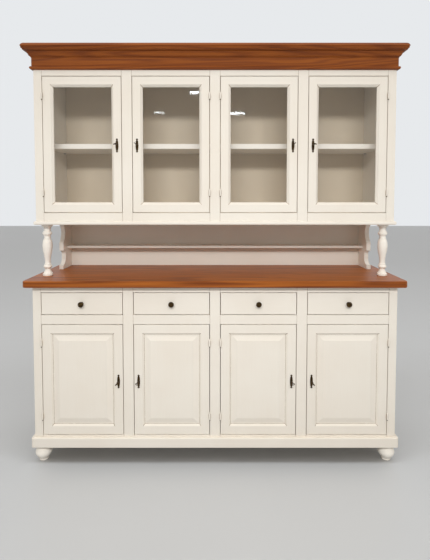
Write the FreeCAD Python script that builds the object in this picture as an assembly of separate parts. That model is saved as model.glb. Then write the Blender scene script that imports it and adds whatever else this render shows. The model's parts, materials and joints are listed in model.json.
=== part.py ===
"""Painted country dresser: a base with four drawers and four panelled doors, and a glazed hutch
standing on turned posts and scrolled brackets. Lengths are in millimetres. X runs to the right,
the front faces -Y and Z is up; the origin is on the floor under the middle of the whole piece."""
import FreeCAD
import Part
import os

V = FreeCAD.Vector
ORIGIN = V(0, 0, 0)
UP = V(0, 0, 1)
TO_FRONT = V(0, -1, 0)
TO_RIGHT = V(1, 0, 0)
OVERRUN = 5.0

# Carcass and face frame
CARCASS_WIDTH = 1800.0
BASE_DEPTH = 412.0
HUTCH_SETBACK = 52.0
FRAME_THICKNESS = 20.0
SIDE_THICKNESS = 22.0
PARTITION_THICKNESS = 18.0
BOARD_THICKNESS = 18.0
BACK_THICKNESS = 6.0
OUTER_STILE = 40.0
MID_STILE = 50.0
BASE_STILE_OFFSET = 430.0
HUTCH_STILE_OFFSET = 439.0
FRONT_GAP = 3.0

# Heights, from the floor upwards
FOOT_HEIGHT = 86.0
BOTTOM_RAIL = 56.0
BASE_DOOR_OPENING = 561.0
MID_RAIL = 46.0
DRAWER_OPENING = 113.0
TOP_RAIL = 30.0
WORKTOP_THICKNESS = 33.0
NICHE_HEIGHT = 267.0
HUTCH_FLOOR_THICKNESS = 18.0
HUTCH_BOTTOM_RAIL = 42.0
HUTCH_DOOR_OPENING = 680.0
HUTCH_TOP_RAIL = 28.0
BEAD_HEIGHT = 17.0
FRIEZE_HEIGHT = 42.5
CROWN_HEIGHT = 60.5
CORNICE_RISE = 20.0

# Feet, plinth and worktop
FOOT_RADIUS = 41.0
FOOT_INSET = 50.0
FOOT_SIDE_INSET = 43.0
PLINTH_HEIGHT = 48.0
PLINTH_OUTSET = 15.0
PLINTH_CORNER = 12.0
PLINTH_ROUND = 5.0
WORKTOP_OVERHANG = 36.0
WORKTOP_CORNER = 18.0
WORKTOP_ROUND = 5.0

# Cornice, posts, brackets and niche
BEAD_OUTSET = 14.0
FRIEZE_OUTSET = 6.0
CROWN_OUTSET = 43.5
HUTCH_FLOOR_OUTSET = 9.0
HUTCH_FLOOR_ROUND = 6.0
POST_RADIUS = 28.0
POST_INSET = 32.0
POST_SETBACK = 106.0
BRACKET_THICKNESS = 23.0
BRACKET_INSET = 23.0
BRACKET_DEPTH = 130.0
NICHE_BACK_THICKNESS = 10.0
LEDGE_DEPTH = 66.0
LEDGE_THICKNESS = 14.0
LEDGE_HEIGHT = 110.0
LEDGE_ROUND = 4.0

# Shelves and their pins
SHELF_THICKNESS = 25.0
SHELF_SETBACK = 80.0
SHELF_END_GAP = 1.0
HUTCH_SHELF_RISE = 375.0
BASE_SHELF_RISE = 270.0
PIN_RADIUS = 3.0
PIN_LENGTH = 11.0
PIN_INSET = 40.0

# Drawers, with the front flush in the frame
DRAWER_FRONT = 20.0
DRAWER_EDGE_ROUND = 1.5
DRAWER_WALL = 12.0
DRAWER_WALL_DROP = 22.0
DRAWER_WALL_RISE = 3.0
DRAWER_FLOOR = 5.0
DRAWER_FLOOR_RISE = 8.0
DRAWER_LENGTH = 360.0
RUNNER_GAP = 0.5
RUNNER_SEAT_GAP = 0.3
RUNNER_LEDGE = 10.0
RUNNER_THICKNESS = 18.0
RUNNER_GUIDE_RISE = 24.0
KNOB_RADIUS = 14.0
KNOB_REACH = 26.0

# Doors
DOOR_THICKNESS = 22.0
BASE_DOOR_FLAT = 42.0
BASE_DOOR_CHAMFER = 8.0
BASE_DOOR_CHAMFER_DEPTH = 8.0
HUTCH_DOOR_FLAT = 39.0
HUTCH_DOOR_CHAMFER = 11.0
HUTCH_DOOR_CHAMFER_DEPTH = 10.0
PANEL_LIP = 1.0
PANEL_TONGUE = 6.0
PANEL_HOUSING = 8.0
PANEL_MARGIN = 7.0
PANEL_BEVEL = 24.0
PANEL_FIELD_DEPTH = 2.0
GLASS_LIP = 2.0
GLASS_THICKNESS = 4.0
GLASS_REBATE = 8.0

# Hinges: two knuckles on a pin, each with a leaf in the gap between door and stile
HINGE_HEIGHT = 40.0
HINGE_RADIUS = 5.0
HINGE_STANDOFF = 0.3
HINGE_LEAF = 1.2
HINGE_LEAF_DEPTH = 16.0
HINGE_PIN_RADIUS = 2.0
HINGE_PIN_LENGTH = 12.0
HINGE_PIN_GAP = 0.06
HINGE_KNUCKLE_GAP = 0.3
HUTCH_HINGE_INSET = 100.0
BASE_HINGE_INSET = 95.0

# Locks: plate, barrel through the stile, plug with a tongue behind the door, and the key
LOCK_INSET = 22.0
HUTCH_LOCK_RISE = 337.0
BASE_LOCK_RISE = 273.0
PLATE_HEIGHT = 69.0
PLATE_WIDTH = 18.0
PLATE_THICKNESS = 2.2
PLATE_BALL = 3.8
KEYHOLE_RISE = 4.0
KEYHOLE_RADIUS = 3.1
BARREL_RADIUS = 7.0
PLUG_RADIUS = 5.0
PLUG_GAP = 0.06
PLUG_RECESS = 1.0
TONGUE_GAP = 0.5
TONGUE_THICKNESS = 2.0
TONGUE_LENGTH = 33.0
TONGUE_WIDTH = 10.0
KEY_SHANK_RADIUS = 2.6
KEY_SOCKET_GAP = 0.05
KEY_SOCKET_DEPTH = 12.0
KEY_COLLAR_RADIUS = 4.0
KEY_COLLAR_LENGTH = 3.0
KEY_BOW_RADIUS = 10.0
KEY_BOW_HOLE = 6.0
KEY_BOW_THICKNESS = 3.0
KEY_REACH = 46.0
HUTCH_KEY_ANGLES = (24.0, -35.0, 42.0, -20.0)
BASE_KEY_ANGLES = (39.0, -8.0, 8.0, -40.0)

# Turned and moulded outlines as shares of each piece's own radius or width and height
POST_START_SHARE = (0.82, 0.0)
POST_STEP_SHARES = (
    ((0.87, 0.012),), ((0.87, 0.045),), ((0.57, 0.09), (0.47, 0.13)), ((0.49, 0.142),),
    ((0.74, 0.172), (0.66, 0.207)), ((0.58, 0.215),), ((0.58, 0.236),), ((0.5, 0.245),),
    ((0.51, 0.315), (0.62, 0.388), (0.75, 0.457), (0.84, 0.521), (0.875, 0.573), (0.85, 0.625), (0.79, 0.672),
     (0.62, 0.709)),
    ((0.57, 0.716),), ((0.57, 0.776),), ((0.84, 0.823), (0.57, 0.87)),
    ((0.57, 0.905), (0.7, 0.942), (1.0, 0.972)), ((1.0, 1.0),),
)
FOOT_START_SHARE = (0.5, 0.0)
FOOT_STEP_SHARES = (
    ((0.55, 0.012),), ((0.55, 0.05),), ((0.53, 0.06),),
    ((0.66, 0.085), (0.82, 0.15), (0.94, 0.257), (1.0, 0.39), (0.985, 0.52), (0.9, 0.65),
     (0.74, 0.77), (0.68, 0.81)),
    ((0.68, 0.84),), ((0.9, 0.86),), ((0.9, 1.0),),
)
KNOB_START_SHARE = (0.62, 0.0)
KNOB_STEP_SHARES = (
    ((0.62, 0.08),), ((0.42, 0.16), (0.36, 0.34)), ((0.5, 0.5), (0.92, 0.6)),
    ((1.0, 0.68), (0.93, 0.78)), ((0.62, 0.94), (0.2, 1.0)),
)
CROWN_STEP_SHARES = (
    ((0.07, 0.0),), ((0.07, 0.04),), ((0.25, 0.14), (0.34, 0.3)), ((0.38, 0.3),), ((0.38, 0.33),),
    ((0.5, 0.42), (0.74, 0.46)), ((0.79, 0.46),), ((0.79, 0.52),), ((0.87, 0.54),),
    ((1.0, 0.71), (0.94, 0.84)), ((0.86, 0.92), (0.73, 1.0)),
)
BRACKET_START_SHARE = (1.0, 0.0)
BRACKET_STEP_SHARES = (
    ((1.0, 0.085),), ((0.76, 0.16), (0.725, 0.25)), ((0.735, 0.335), (0.78, 0.37)), ((0.955, 0.39),),
    ((0.955, 0.56),), ((0.83, 0.63), (0.76, 0.73)), ((0.79, 0.86), (0.98, 0.95)), ((0.98, 1.0),),
)

# Places that follow from the sizes above
HALF_WIDTH = CARCASS_WIDTH / 2
BASE_FACE = (KEY_REACH - BASE_DEPTH) / 2
HUTCH_FACE = BASE_FACE + HUTCH_SETBACK
BACK = BASE_FACE + BASE_DEPTH
BASE_INSIDE = BASE_FACE + FRAME_THICKNESS
HUTCH_INSIDE = HUTCH_FACE + FRAME_THICKNESS
BACK_FACE = BACK - BACK_THICKNESS
INNER_HALF = HALF_WIDTH - SIDE_THICKNESS
BASE_FLOOR_TOP = FOOT_HEIGHT + BOTTOM_RAIL
BASE_DOOR_TOP = BASE_FLOOR_TOP + BASE_DOOR_OPENING
DRAWER_BOTTOM = BASE_DOOR_TOP + MID_RAIL
DRAWER_TOP = DRAWER_BOTTOM + DRAWER_OPENING
BASE_TOP = DRAWER_TOP + TOP_RAIL
WORKTOP_TOP = BASE_TOP + WORKTOP_THICKNESS
HUTCH_BOTTOM = WORKTOP_TOP + NICHE_HEIGHT
HUTCH_FLOOR_TOP = HUTCH_BOTTOM + HUTCH_FLOOR_THICKNESS
HUTCH_DOOR_BOTTOM = HUTCH_FLOOR_TOP + HUTCH_BOTTOM_RAIL
HUTCH_DOOR_TOP = HUTCH_DOOR_BOTTOM + HUTCH_DOOR_OPENING
CORNICE_BOTTOM = HUTCH_DOOR_TOP + HUTCH_TOP_RAIL
FRIEZE_BOTTOM = CORNICE_BOTTOM + BEAD_HEIGHT
CROWN_BOTTOM = FRIEZE_BOTTOM + FRIEZE_HEIGHT
CORNICE_TOP = CROWN_BOTTOM + CROWN_HEIGHT
HUTCH_TOP = CORNICE_TOP - CORNICE_RISE


def box(x0, x1, y0, y1, z0, z1):
    return Part.makeBox(x1 - x0, y1 - y0, z1 - z0, V(x0, y0, z0))


def rod(radius, start, end):
    return Part.makeCylinder(radius, (end - start).Length, start, end - start)


def mirrored(shape):
    return shape.mirror(ORIGIN, TO_RIGHT)


def pair(shape):
    return [shape, mirrored(shape)]


def write(node, solids):
    Part.makeCompound(solids).exportStep(f"parts/{node}.step")


def outline(start, steps, place):
    """Closed face through steps of end points; a step with one point before its end is an arc,
    and with more it is a smooth curve."""
    edges = []
    here = start
    for step in steps:
        points = [place(*point) for point in (here, *step)]
        if len(points) == 2:
            curve = Part.LineSegment(*points)
        elif len(points) == 3:
            curve = Part.Arc(*points)
        else:
            curve = Part.BSplineCurve()
            curve.interpolate(points)
        edges.append(curve.toShape())
        here = step[-1]
    return Part.Face(Part.Wire(edges))


def turned(start_share, step_shares, radius, height):
    """Solid of revolution standing on the origin along Z."""
    foot, head = start_share[1], step_shares[-1][-1][1]
    closing = [((0, head),), ((0, foot),), (start_share,)]
    face = outline(start_share, [*step_shares, *closing], lambda r, h: V(r * radius, 0, h * height))
    return face.revolve(ORIGIN, UP, 360)


def openings(stile_offset):
    """Left and right edges of the four openings between the stiles."""
    outer = HALF_WIDTH - OUTER_STILE
    half_stile = MID_STILE / 2
    right = [(half_stile, stile_offset - half_stile), (stile_offset + half_stile, outer)]
    left = [(-high, -low) for low, high in reversed(right)]
    return left + right


def bays(stile_offset):
    """Left and right faces of the four bays between the sides and partitions."""
    half = PARTITION_THICKNESS / 2
    right = [(half, stile_offset - half), (stile_offset + half, INNER_HALF)]
    left = [(-high, -low) for low, high in reversed(right)]
    return left + right


def stiles(stile_offset, face, bottom, top):
    outer = HALF_WIDTH - OUTER_STILE
    half = MID_STILE / 2
    spans = [(-HALF_WIDTH, -outer), (outer, HALF_WIDTH)]
    spans += [(centre - half, centre + half) for centre in (-stile_offset, 0, stile_offset)]
    return [box(x0, x1, face, face + FRAME_THICKNESS, bottom, top) for x0, x1 in spans]


def rails(stile_offset, face, heights):
    return [
        box(x0, x1, face, face + FRAME_THICKNESS, bottom, top)
        for bottom, top in heights
        for x0, x1 in openings(stile_offset)
    ]


def partitions(stile_offset, inside, bottom, top):
    half = PARTITION_THICKNESS / 2
    return [
        box(centre - half, centre + half, inside, BACK_FACE, bottom, top)
        for centre in (-stile_offset, 0, stile_offset)
    ]


def shelves(stile_offset, inside, bottom):
    return [
        box(x0 + SHELF_END_GAP, x1 - SHELF_END_GAP, inside + SHELF_SETBACK, BACK_FACE,
            bottom, bottom + SHELF_THICKNESS)
        for x0, x1 in bays(stile_offset)
    ]


def shelf_pins(stile_offset, inside, bottom):
    height = bottom - PIN_RADIUS
    pins = []
    for x0, x1 in bays(stile_offset):
        for y in (inside + SHELF_SETBACK + PIN_INSET, BACK_FACE - PIN_INSET):
            pins.append(rod(PIN_RADIUS, V(x0, y, height), V(x0 + PIN_LENGTH, y, height)))
            pins.append(rod(PIN_RADIUS, V(x1 - PIN_LENGTH, y, height), V(x1, y, height)))
    return pins


def mitred(start, steps, face, bottom, top):
    """Moulding of one profile round the front and both sides, mitred at the front corners.
    The profile is given as distance out from the carcass and height."""
    reach = max(point[0] for step in steps for point in step)
    out = HALF_WIDTH + reach
    front_run = outline(start, steps, lambda u, z: V(-out, face - u, z)).extrude(V(out + out, 0, 0))
    side_run = outline(start, steps, lambda u, z: V(HALF_WIDTH + u, face - reach, z))
    side_run = side_run.extrude(V(0, BACK - face + reach, 0))

    def plan(*corners):
        points = [V(x, y, bottom) for x, y in corners]
        return Part.Face(Part.makePolygon([*points, points[0]])).extrude(V(0, 0, top - bottom))

    front_plan = plan((-HALF_WIDTH, face), (HALF_WIDTH, face), (out, face - reach), (-out, face - reach))
    side_plan = plan((HALF_WIDTH, face), (HALF_WIDTH, BACK), (out, BACK), (out, face - reach))
    front = front_run.common(front_plan)
    return [front, *pair(side_run.common(side_plan))]


def make_feet():
    foot = turned(FOOT_START_SHARE, FOOT_STEP_SHARES, FOOT_RADIUS, FOOT_HEIGHT)
    offset = HALF_WIDTH + PLINTH_OUTSET - FOOT_SIDE_INSET
    feet = []
    for y in (BASE_FACE - PLINTH_OUTSET + FOOT_INSET, BACK - FOOT_INSET):
        feet += pair(foot.translated(V(offset, y, 0)))
    return feet


def make_plinth():
    """Flat band round the foot of the carcass with eased corners and a rounded top edge."""
    top = FOOT_HEIGHT + PLINTH_HEIGHT
    out = HALF_WIDTH + PLINTH_OUTSET
    face = BASE_FACE - PLINTH_OUTSET
    block = box(-out, out, face, BACK, FOOT_HEIGHT, top)
    corners = [
        edge for edge in block.Edges
        if edge.BoundBox.ZLength > PLINTH_HEIGHT / 2 and edge.BoundBox.YMax < BASE_FACE
    ]
    block = block.makeFillet(PLINTH_CORNER, corners)
    rims = [
        edge for edge in block.Edges
        if edge.BoundBox.ZMin > top - PLINTH_ROUND and edge.BoundBox.YMin < BACK - PLINTH_ROUND
    ]
    block = block.makeFillet(PLINTH_ROUND, rims)
    ring = block.cut(box(-HALF_WIDTH, HALF_WIDTH, BASE_FACE, BACK + OVERRUN, FOOT_HEIGHT, top))
    corner = V(HALF_WIDTH, BASE_FACE, FOOT_HEIGHT)
    points = [corner, corner + V(PLINTH_OUTSET, -PLINTH_OUTSET, 0), V(out, BACK, FOOT_HEIGHT),
              V(HALF_WIDTH, BACK, FOOT_HEIGHT), corner]
    side_plan = Part.Face(Part.makePolygon(points)).extrude(V(0, 0, PLINTH_HEIGHT))
    sides = pair(ring.common(side_plan))
    return [ring.cut(Part.makeCompound(pair(side_plan))).Solids[0], *sides]


def make_worktop():
    out = HALF_WIDTH + WORKTOP_OVERHANG
    front = BASE_FACE - WORKTOP_OVERHANG
    board = box(-out, out, front, BACK, BASE_TOP, WORKTOP_TOP)
    corners = [
        edge for edge in board.Edges
        if edge.BoundBox.ZLength > WORKTOP_THICKNESS / 2 and edge.BoundBox.YMax < BASE_FACE
    ]
    board = board.makeFillet(WORKTOP_CORNER, corners)
    rims = [
        edge for edge in board.Edges
        if edge.BoundBox.ZLength < WORKTOP_ROUND and edge.BoundBox.YMin < BACK - WORKTOP_ROUND
    ]
    return board.makeFillet(WORKTOP_ROUND, rims)


def make_hutch_floor():
    """Board under the hutch with a rounded nose that shows all round the front and sides."""
    out = HALF_WIDTH + HUTCH_FLOOR_OUTSET
    front = HUTCH_FACE - HUTCH_FLOOR_OUTSET
    board = box(-out, out, front, BACK, HUTCH_BOTTOM, HUTCH_FLOOR_TOP)
    rims = [
        edge for edge in board.Edges
        if edge.BoundBox.ZLength < HUTCH_FLOOR_ROUND and edge.BoundBox.YMin < BACK - HUTCH_FLOOR_ROUND
    ]
    return board.makeFillet(HUTCH_FLOOR_ROUND, rims)


def make_cornice():
    """Astragal bead, flat frieze and coved crown, as one moulding mitred at the corners."""
    bead_mid = (BEAD_OUTSET, CORNICE_BOTTOM + BEAD_HEIGHT / 2)
    steps = [
        ((FRIEZE_OUTSET, CORNICE_BOTTOM),), (bead_mid, (FRIEZE_OUTSET, FRIEZE_BOTTOM)),
        ((FRIEZE_OUTSET, CROWN_BOTTOM),),
    ]
    width = CROWN_OUTSET - FRIEZE_OUTSET
    for step in CROWN_STEP_SHARES:
        steps.append(tuple(
            (FRIEZE_OUTSET + u * width, CROWN_BOTTOM + h * CROWN_HEIGHT) for u, h in step
        ))
    start = (0, CORNICE_BOTTOM)
    steps += [((0, CORNICE_TOP),), (start,)]
    return mitred(start, steps, HUTCH_FACE, CORNICE_BOTTOM, CORNICE_TOP)


def make_posts():
    post = turned(POST_START_SHARE, POST_STEP_SHARES, POST_RADIUS, NICHE_HEIGHT)
    return pair(post.translated(V(HALF_WIDTH - POST_INSET, BASE_FACE + POST_SETBACK, WORKTOP_TOP)))


def make_brackets():
    """Scrolled side pieces of the niche, cut from board."""
    wall = BACK - NICHE_BACK_THICKNESS
    outer = HALF_WIDTH - BRACKET_INSET
    closing = [((0, 1.0),), ((0, 0),), (BRACKET_START_SHARE,)]
    face = outline(
        BRACKET_START_SHARE, [*BRACKET_STEP_SHARES, *closing],
        lambda u, h: V(outer, wall - u * BRACKET_DEPTH, WORKTOP_TOP + h * NICHE_HEIGHT),
    )
    return pair(face.extrude(V(-BRACKET_THICKNESS, 0, 0)))


def make_ledge():
    half = HALF_WIDTH - BRACKET_INSET - BRACKET_THICKNESS
    wall = BACK - NICHE_BACK_THICKNESS
    bottom = WORKTOP_TOP + LEDGE_HEIGHT
    ledge = box(-half, half, wall - LEDGE_DEPTH, wall, bottom, bottom + LEDGE_THICKNESS)
    nose = [
        edge for edge in ledge.Edges
        if edge.BoundBox.XLength > half and edge.BoundBox.YMax < wall - LEDGE_ROUND
    ]
    return ledge.makeFillet(LEDGE_ROUND, nose)


def make_runners():
    """Runner under each side of a drawer and guide strip beside it, on the sides and partitions."""
    runners = []
    box_bottom = DRAWER_BOTTOM + DRAWER_WALL_RISE
    seat = box_bottom - RUNNER_SEAT_GAP
    for (bay_left, bay_right), (left, right) in zip(bays(BASE_STILE_OFFSET), openings(BASE_STILE_OFFSET)):
        for wall, side, inward in ((bay_left, left + FRONT_GAP, 1), (bay_right, right - FRONT_GAP, -1)):
            guide = side - inward * RUNNER_GAP
            ledge = side + inward * RUNNER_LEDGE
            runners.append(box(min(wall, ledge), max(wall, ledge), BASE_INSIDE, BACK_FACE,
                               seat - RUNNER_THICKNESS, seat))
            runners.append(box(min(wall, guide), max(wall, guide), BASE_INSIDE, BACK_FACE,
                               seat, seat + RUNNER_GUIDE_RISE))
    return runners


def make_drawer(left, right):
    """Front, two sides, back and bottom of one drawer, and its knob."""
    x0, x1 = left + FRONT_GAP, right - FRONT_GAP
    z0, z1 = DRAWER_BOTTOM + FRONT_GAP, DRAWER_TOP - FRONT_GAP
    inside = BASE_FACE + DRAWER_FRONT
    rear = inside + DRAWER_LENGTH
    front = box(x0, x1, BASE_FACE, inside, z0, z1)
    face_rim = [edge for edge in front.Edges if edge.BoundBox.YMax < inside - DRAWER_EDGE_ROUND]
    front = front.makeFillet(DRAWER_EDGE_ROUND, face_rim)
    low = DRAWER_BOTTOM + DRAWER_WALL_RISE
    high = z1 - DRAWER_WALL_DROP
    sides = [
        box(x0, x0 + DRAWER_WALL, inside, rear, low, high),
        box(x1 - DRAWER_WALL, x1, inside, rear, low, high),
    ]
    floor = low + DRAWER_FLOOR_RISE
    bottom = box(x0 + DRAWER_WALL, x1 - DRAWER_WALL, inside, rear, floor, floor + DRAWER_FLOOR)
    back = box(x0 + DRAWER_WALL, x1 - DRAWER_WALL, rear - DRAWER_WALL, rear, floor + DRAWER_FLOOR, high)
    knob = turned(KNOB_START_SHARE, KNOB_STEP_SHARES, KNOB_RADIUS, KNOB_REACH)
    knob.rotate(ORIGIN, TO_RIGHT, 90)
    knob.translate(V((x0 + x1) / 2, BASE_FACE, (z0 + z1) / 2))
    return [front, *sides, back, bottom], [knob]


def tapered_opening(width, height, flat, chamfer, depth):
    """Opening of a door frame: a chamfered mouth on the face and a straight way through behind."""
    inner = flat + chamfer

    def ring(inset, y):
        x0, x1 = FRONT_GAP + inset, width - FRONT_GAP - inset
        z0, z1 = FRONT_GAP + inset, height - FRONT_GAP - inset
        return Part.makePolygon([V(x0, y, z0), V(x1, y, z0), V(x1, y, z1), V(x0, y, z1), V(x0, y, z0)])

    mouth = Part.makeLoft([ring(flat, 0), ring(inner, depth)], True, True)
    x0, x1 = FRONT_GAP + inner, width - FRONT_GAP - inner
    z0, z1 = FRONT_GAP + inner, height - FRONT_GAP - inner
    return mouth.fuse(box(x0, x1, depth, DOOR_THICKNESS + OVERRUN, z0, z1))


def framed(width, height, flat, chamfer, depth, housing):
    """Stiles and rails of a door, cut for what they hold. Local x runs from the hinge side of the
    opening, y back from the door's face and z up from the opening's sill."""
    block = box(FRONT_GAP, width - FRONT_GAP, 0, DOOR_THICKNESS, FRONT_GAP, height - FRONT_GAP)
    ring = block.cut(tapered_opening(width, height, flat, chamfer, depth)).cut(housing)
    inner = FRONT_GAP + flat + chamfer
    middle = height / 2
    spans = [
        (0, inner, 0, height), (width - inner, width, 0, height),
        (inner, width - inner, 0, middle), (inner, width - inner, middle, height),
    ]
    return [ring.common(box(x0, x1, 0, DOOR_THICKNESS, z0, z1)) for x0, x1, z0, z1 in spans]


def raised_panel(width, height):
    """Tongued panel with a bevelled border rising to a flat field."""
    front = BASE_DOOR_CHAMFER_DEPTH + PANEL_LIP
    inner = FRONT_GAP + BASE_DOOR_FLAT + BASE_DOOR_CHAMFER
    edge = inner - PANEL_HOUSING
    tongue = box(edge, width - edge, front, front + PANEL_TONGUE, edge, height - edge)

    def ring(inset, y):
        x0, x1, z0, z1 = inset, width - inset, inset, height - inset
        return Part.makePolygon([V(x0, y, z0), V(x1, y, z0), V(x1, y, z1), V(x0, y, z1), V(x0, y, z0)])

    foot = inner + PANEL_MARGIN
    field = Part.makeLoft([ring(foot, front), ring(foot + PANEL_BEVEL, PANEL_FIELD_DEPTH)], True, True)
    return tongue, tongue.fuse(field).removeSplitter()


def glazing(width, height):
    """Pane in its rebate and the four beads that hold it from behind."""
    front = HUTCH_DOOR_CHAMFER_DEPTH + GLASS_LIP
    inner = FRONT_GAP + HUTCH_DOOR_FLAT + HUTCH_DOOR_CHAMFER
    edge = inner - GLASS_REBATE
    back = front + GLASS_THICKNESS
    pane = box(edge, width - edge, front, back, edge, height - edge)
    rebate = box(edge, width - edge, front, DOOR_THICKNESS + OVERRUN, edge, height - edge)
    beads = [
        box(edge, inner, back, DOOR_THICKNESS, edge, height - edge),
        box(width - inner, width - edge, back, DOOR_THICKNESS, edge, height - edge),
        box(inner, width - inner, back, DOOR_THICKNESS, edge, inner),
        box(inner, width - inner, back, DOOR_THICKNESS, height - inner, height - edge),
    ]
    return pane, rebate, beads


def hinge(sill):
    """Frame knuckle with its pin below, and door knuckle above. The leaves lie on the edges of the
    stile and the door, which is hinged at local x = 0."""
    axis = V(FRONT_GAP / 2, -(HINGE_RADIUS + HINGE_STANDOFF), 0)
    mid = sill + HINGE_HEIGHT / 2
    top = sill + HINGE_HEIGHT
    door_start = mid + HINGE_KNUCKLE_GAP

    def knuckle(low, high):
        return rod(HINGE_RADIUS, axis + V(0, 0, low), axis + V(0, 0, high))

    def leaf(x0, x1, low, high):
        plate = box(x0, x1, 0, HINGE_LEAF_DEPTH, sill, top)
        return plate.fuse(box(x0, x1, axis.y, 0, low, high))

    pin_top = mid + HINGE_PIN_LENGTH
    frame_half = knuckle(sill, mid).fuse(leaf(0, HINGE_LEAF, sill, mid))
    frame_half = frame_half.fuse(rod(HINGE_PIN_RADIUS, axis + V(0, 0, sill), axis + V(0, 0, pin_top)))
    door_half = knuckle(door_start, top).fuse(leaf(FRONT_GAP - HINGE_LEAF, FRONT_GAP, door_start, top))
    bore = rod(HINGE_PIN_RADIUS + HINGE_PIN_GAP, axis + V(0, 0, mid), axis + V(0, 0, pin_top + OVERRUN / 2))
    return frame_half.removeSplitter(), door_half.cut(bore).removeSplitter()


def key_plate(centre):
    """Spindle-shaped key plate with a ball at each end and a keyhole."""
    half_width = PLATE_WIDTH / 2
    ball_height = PLATE_HEIGHT / 2 - PLATE_BALL
    tip = (0, ball_height)
    face = outline(
        (0, -ball_height), [((half_width, 0), tip), ((-half_width, 0), (0, -ball_height))],
        lambda x, z: centre + V(x, 0, z),
    )
    plate = face.extrude(TO_FRONT * PLATE_THICKNESS)
    for end in (ball_height, -ball_height):
        start = centre + V(0, 0, end)
        plate = plate.fuse(rod(PLATE_BALL, start, start + TO_FRONT * PLATE_THICKNESS))
    return plate.removeSplitter()


def lock(width, rise, angle):
    """Key plate and barrel fixed in the door, the plug, the tongue on its end and the key in it.
    The tongue hangs down at rest and turns behind the stile to lock."""
    plate_centre = V(width - FRONT_GAP - LOCK_INSET, 0, rise)
    eye = plate_centre + V(0, 0, KEYHOLE_RISE)
    into = V(0, 1, 0)
    keyhole = rod(KEYHOLE_RADIUS, eye, eye + TO_FRONT * (PLATE_THICKNESS + OVERRUN))
    plate = key_plate(plate_centre).cut(keyhole)
    bore = rod(BARREL_RADIUS, eye, eye + into * (DOOR_THICKNESS + OVERRUN))
    barrel = rod(BARREL_RADIUS, eye, eye + into * DOOR_THICKNESS)
    barrel = barrel.cut(rod(PLUG_RADIUS + PLUG_GAP, eye, eye + into * (DOOR_THICKNESS + OVERRUN)))
    plug_front = eye + into * PLUG_RECESS
    tongue_face = DOOR_THICKNESS + TONGUE_GAP
    half = TONGUE_WIDTH / 2
    tongue = box(eye.x - half, eye.x + half, tongue_face, tongue_face + TONGUE_THICKNESS,
                 eye.z - TONGUE_LENGTH, eye.z + half)
    plug = rod(PLUG_RADIUS, plug_front, eye + into * tongue_face)
    socket_end = plug_front + into * KEY_SOCKET_DEPTH
    plug = plug.cut(rod(KEY_SHANK_RADIUS + KEY_SOCKET_GAP, plug_front, socket_end))
    bow_centre = eye + TO_FRONT * (KEY_REACH - KEY_BOW_RADIUS)
    ring_edge = bow_centre + into * KEY_BOW_RADIUS
    half_bow = UP * (KEY_BOW_THICKNESS / 2)
    bow = rod(KEY_BOW_RADIUS, bow_centre - half_bow, bow_centre + half_bow)
    bow = bow.cut(rod(KEY_BOW_HOLE, bow_centre - half_bow, bow_centre + half_bow))
    shank_front = ring_edge + TO_FRONT * ((KEY_BOW_RADIUS - KEY_BOW_HOLE) / 2)
    shank = rod(KEY_SHANK_RADIUS, socket_end, shank_front)
    collar = rod(KEY_COLLAR_RADIUS, ring_edge, ring_edge + into * KEY_COLLAR_LENGTH)
    key = bow.fuse(shank).fuse(collar).removeSplitter()
    key.rotate(eye, TO_FRONT, angle)
    return bore, [plate, barrel], [key, plug, tongue]


def placed(shapes, hinge_left, left, right, face, sill):
    """Put a door's local pieces into its opening, turned over for a right-hand hinge."""
    if hinge_left:
        return [shape.translated(V(left, face, sill)) for shape in shapes]
    return [mirrored(shape).translated(V(right, face, sill)) for shape in shapes]


def make_doors(prefix, stile_offset, face, sill, height, lock_rise, hinge_inset, angles, build):
    """The four doors of one tier; returns the frame halves of their hinges."""
    frame_leaves = []
    for index, (left, right) in enumerate(openings(stile_offset)):
        hinge_left = index % 2 == 0
        width = right - left
        angle = angles[index] if hinge_left else -angles[index]
        bore, fittings, key = lock(width, lock_rise, angle)
        for hinge_sill in (hinge_inset - HINGE_HEIGHT / 2, height - hinge_inset - HINGE_HEIGHT / 2):
            frame_half, door_half = hinge(hinge_sill)
            fittings.append(door_half)
            frame_leaves += placed([frame_half], hinge_left, left, right, face, sill)
        pieces = build(width, height, bore)
        pieces["fittings"] = fittings
        pieces["key"] = key
        for name, solids in pieces.items():
            node = f"{prefix}_door_{index + 1}_{name}"
            write(node, placed(solids, hinge_left, left, right, face, sill))
    return frame_leaves


def panelled_door(width, height, bore):
    tongue, panel = raised_panel(width, height)
    members = framed(width, height, BASE_DOOR_FLAT, BASE_DOOR_CHAMFER, BASE_DOOR_CHAMFER_DEPTH, tongue)
    return {"leaf": [*(member.cut(bore) for member in members), panel]}


def glazed_door(width, height, bore):
    pane, rebate, beads = glazing(width, height)
    members = framed(width, height, HUTCH_DOOR_FLAT, HUTCH_DOOR_CHAMFER, HUTCH_DOOR_CHAMFER_DEPTH, rebate)
    return {"frame": [*(member.cut(bore) for member in members), *beads], "glass": [pane]}


os.makedirs("parts", exist_ok=True)

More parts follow.
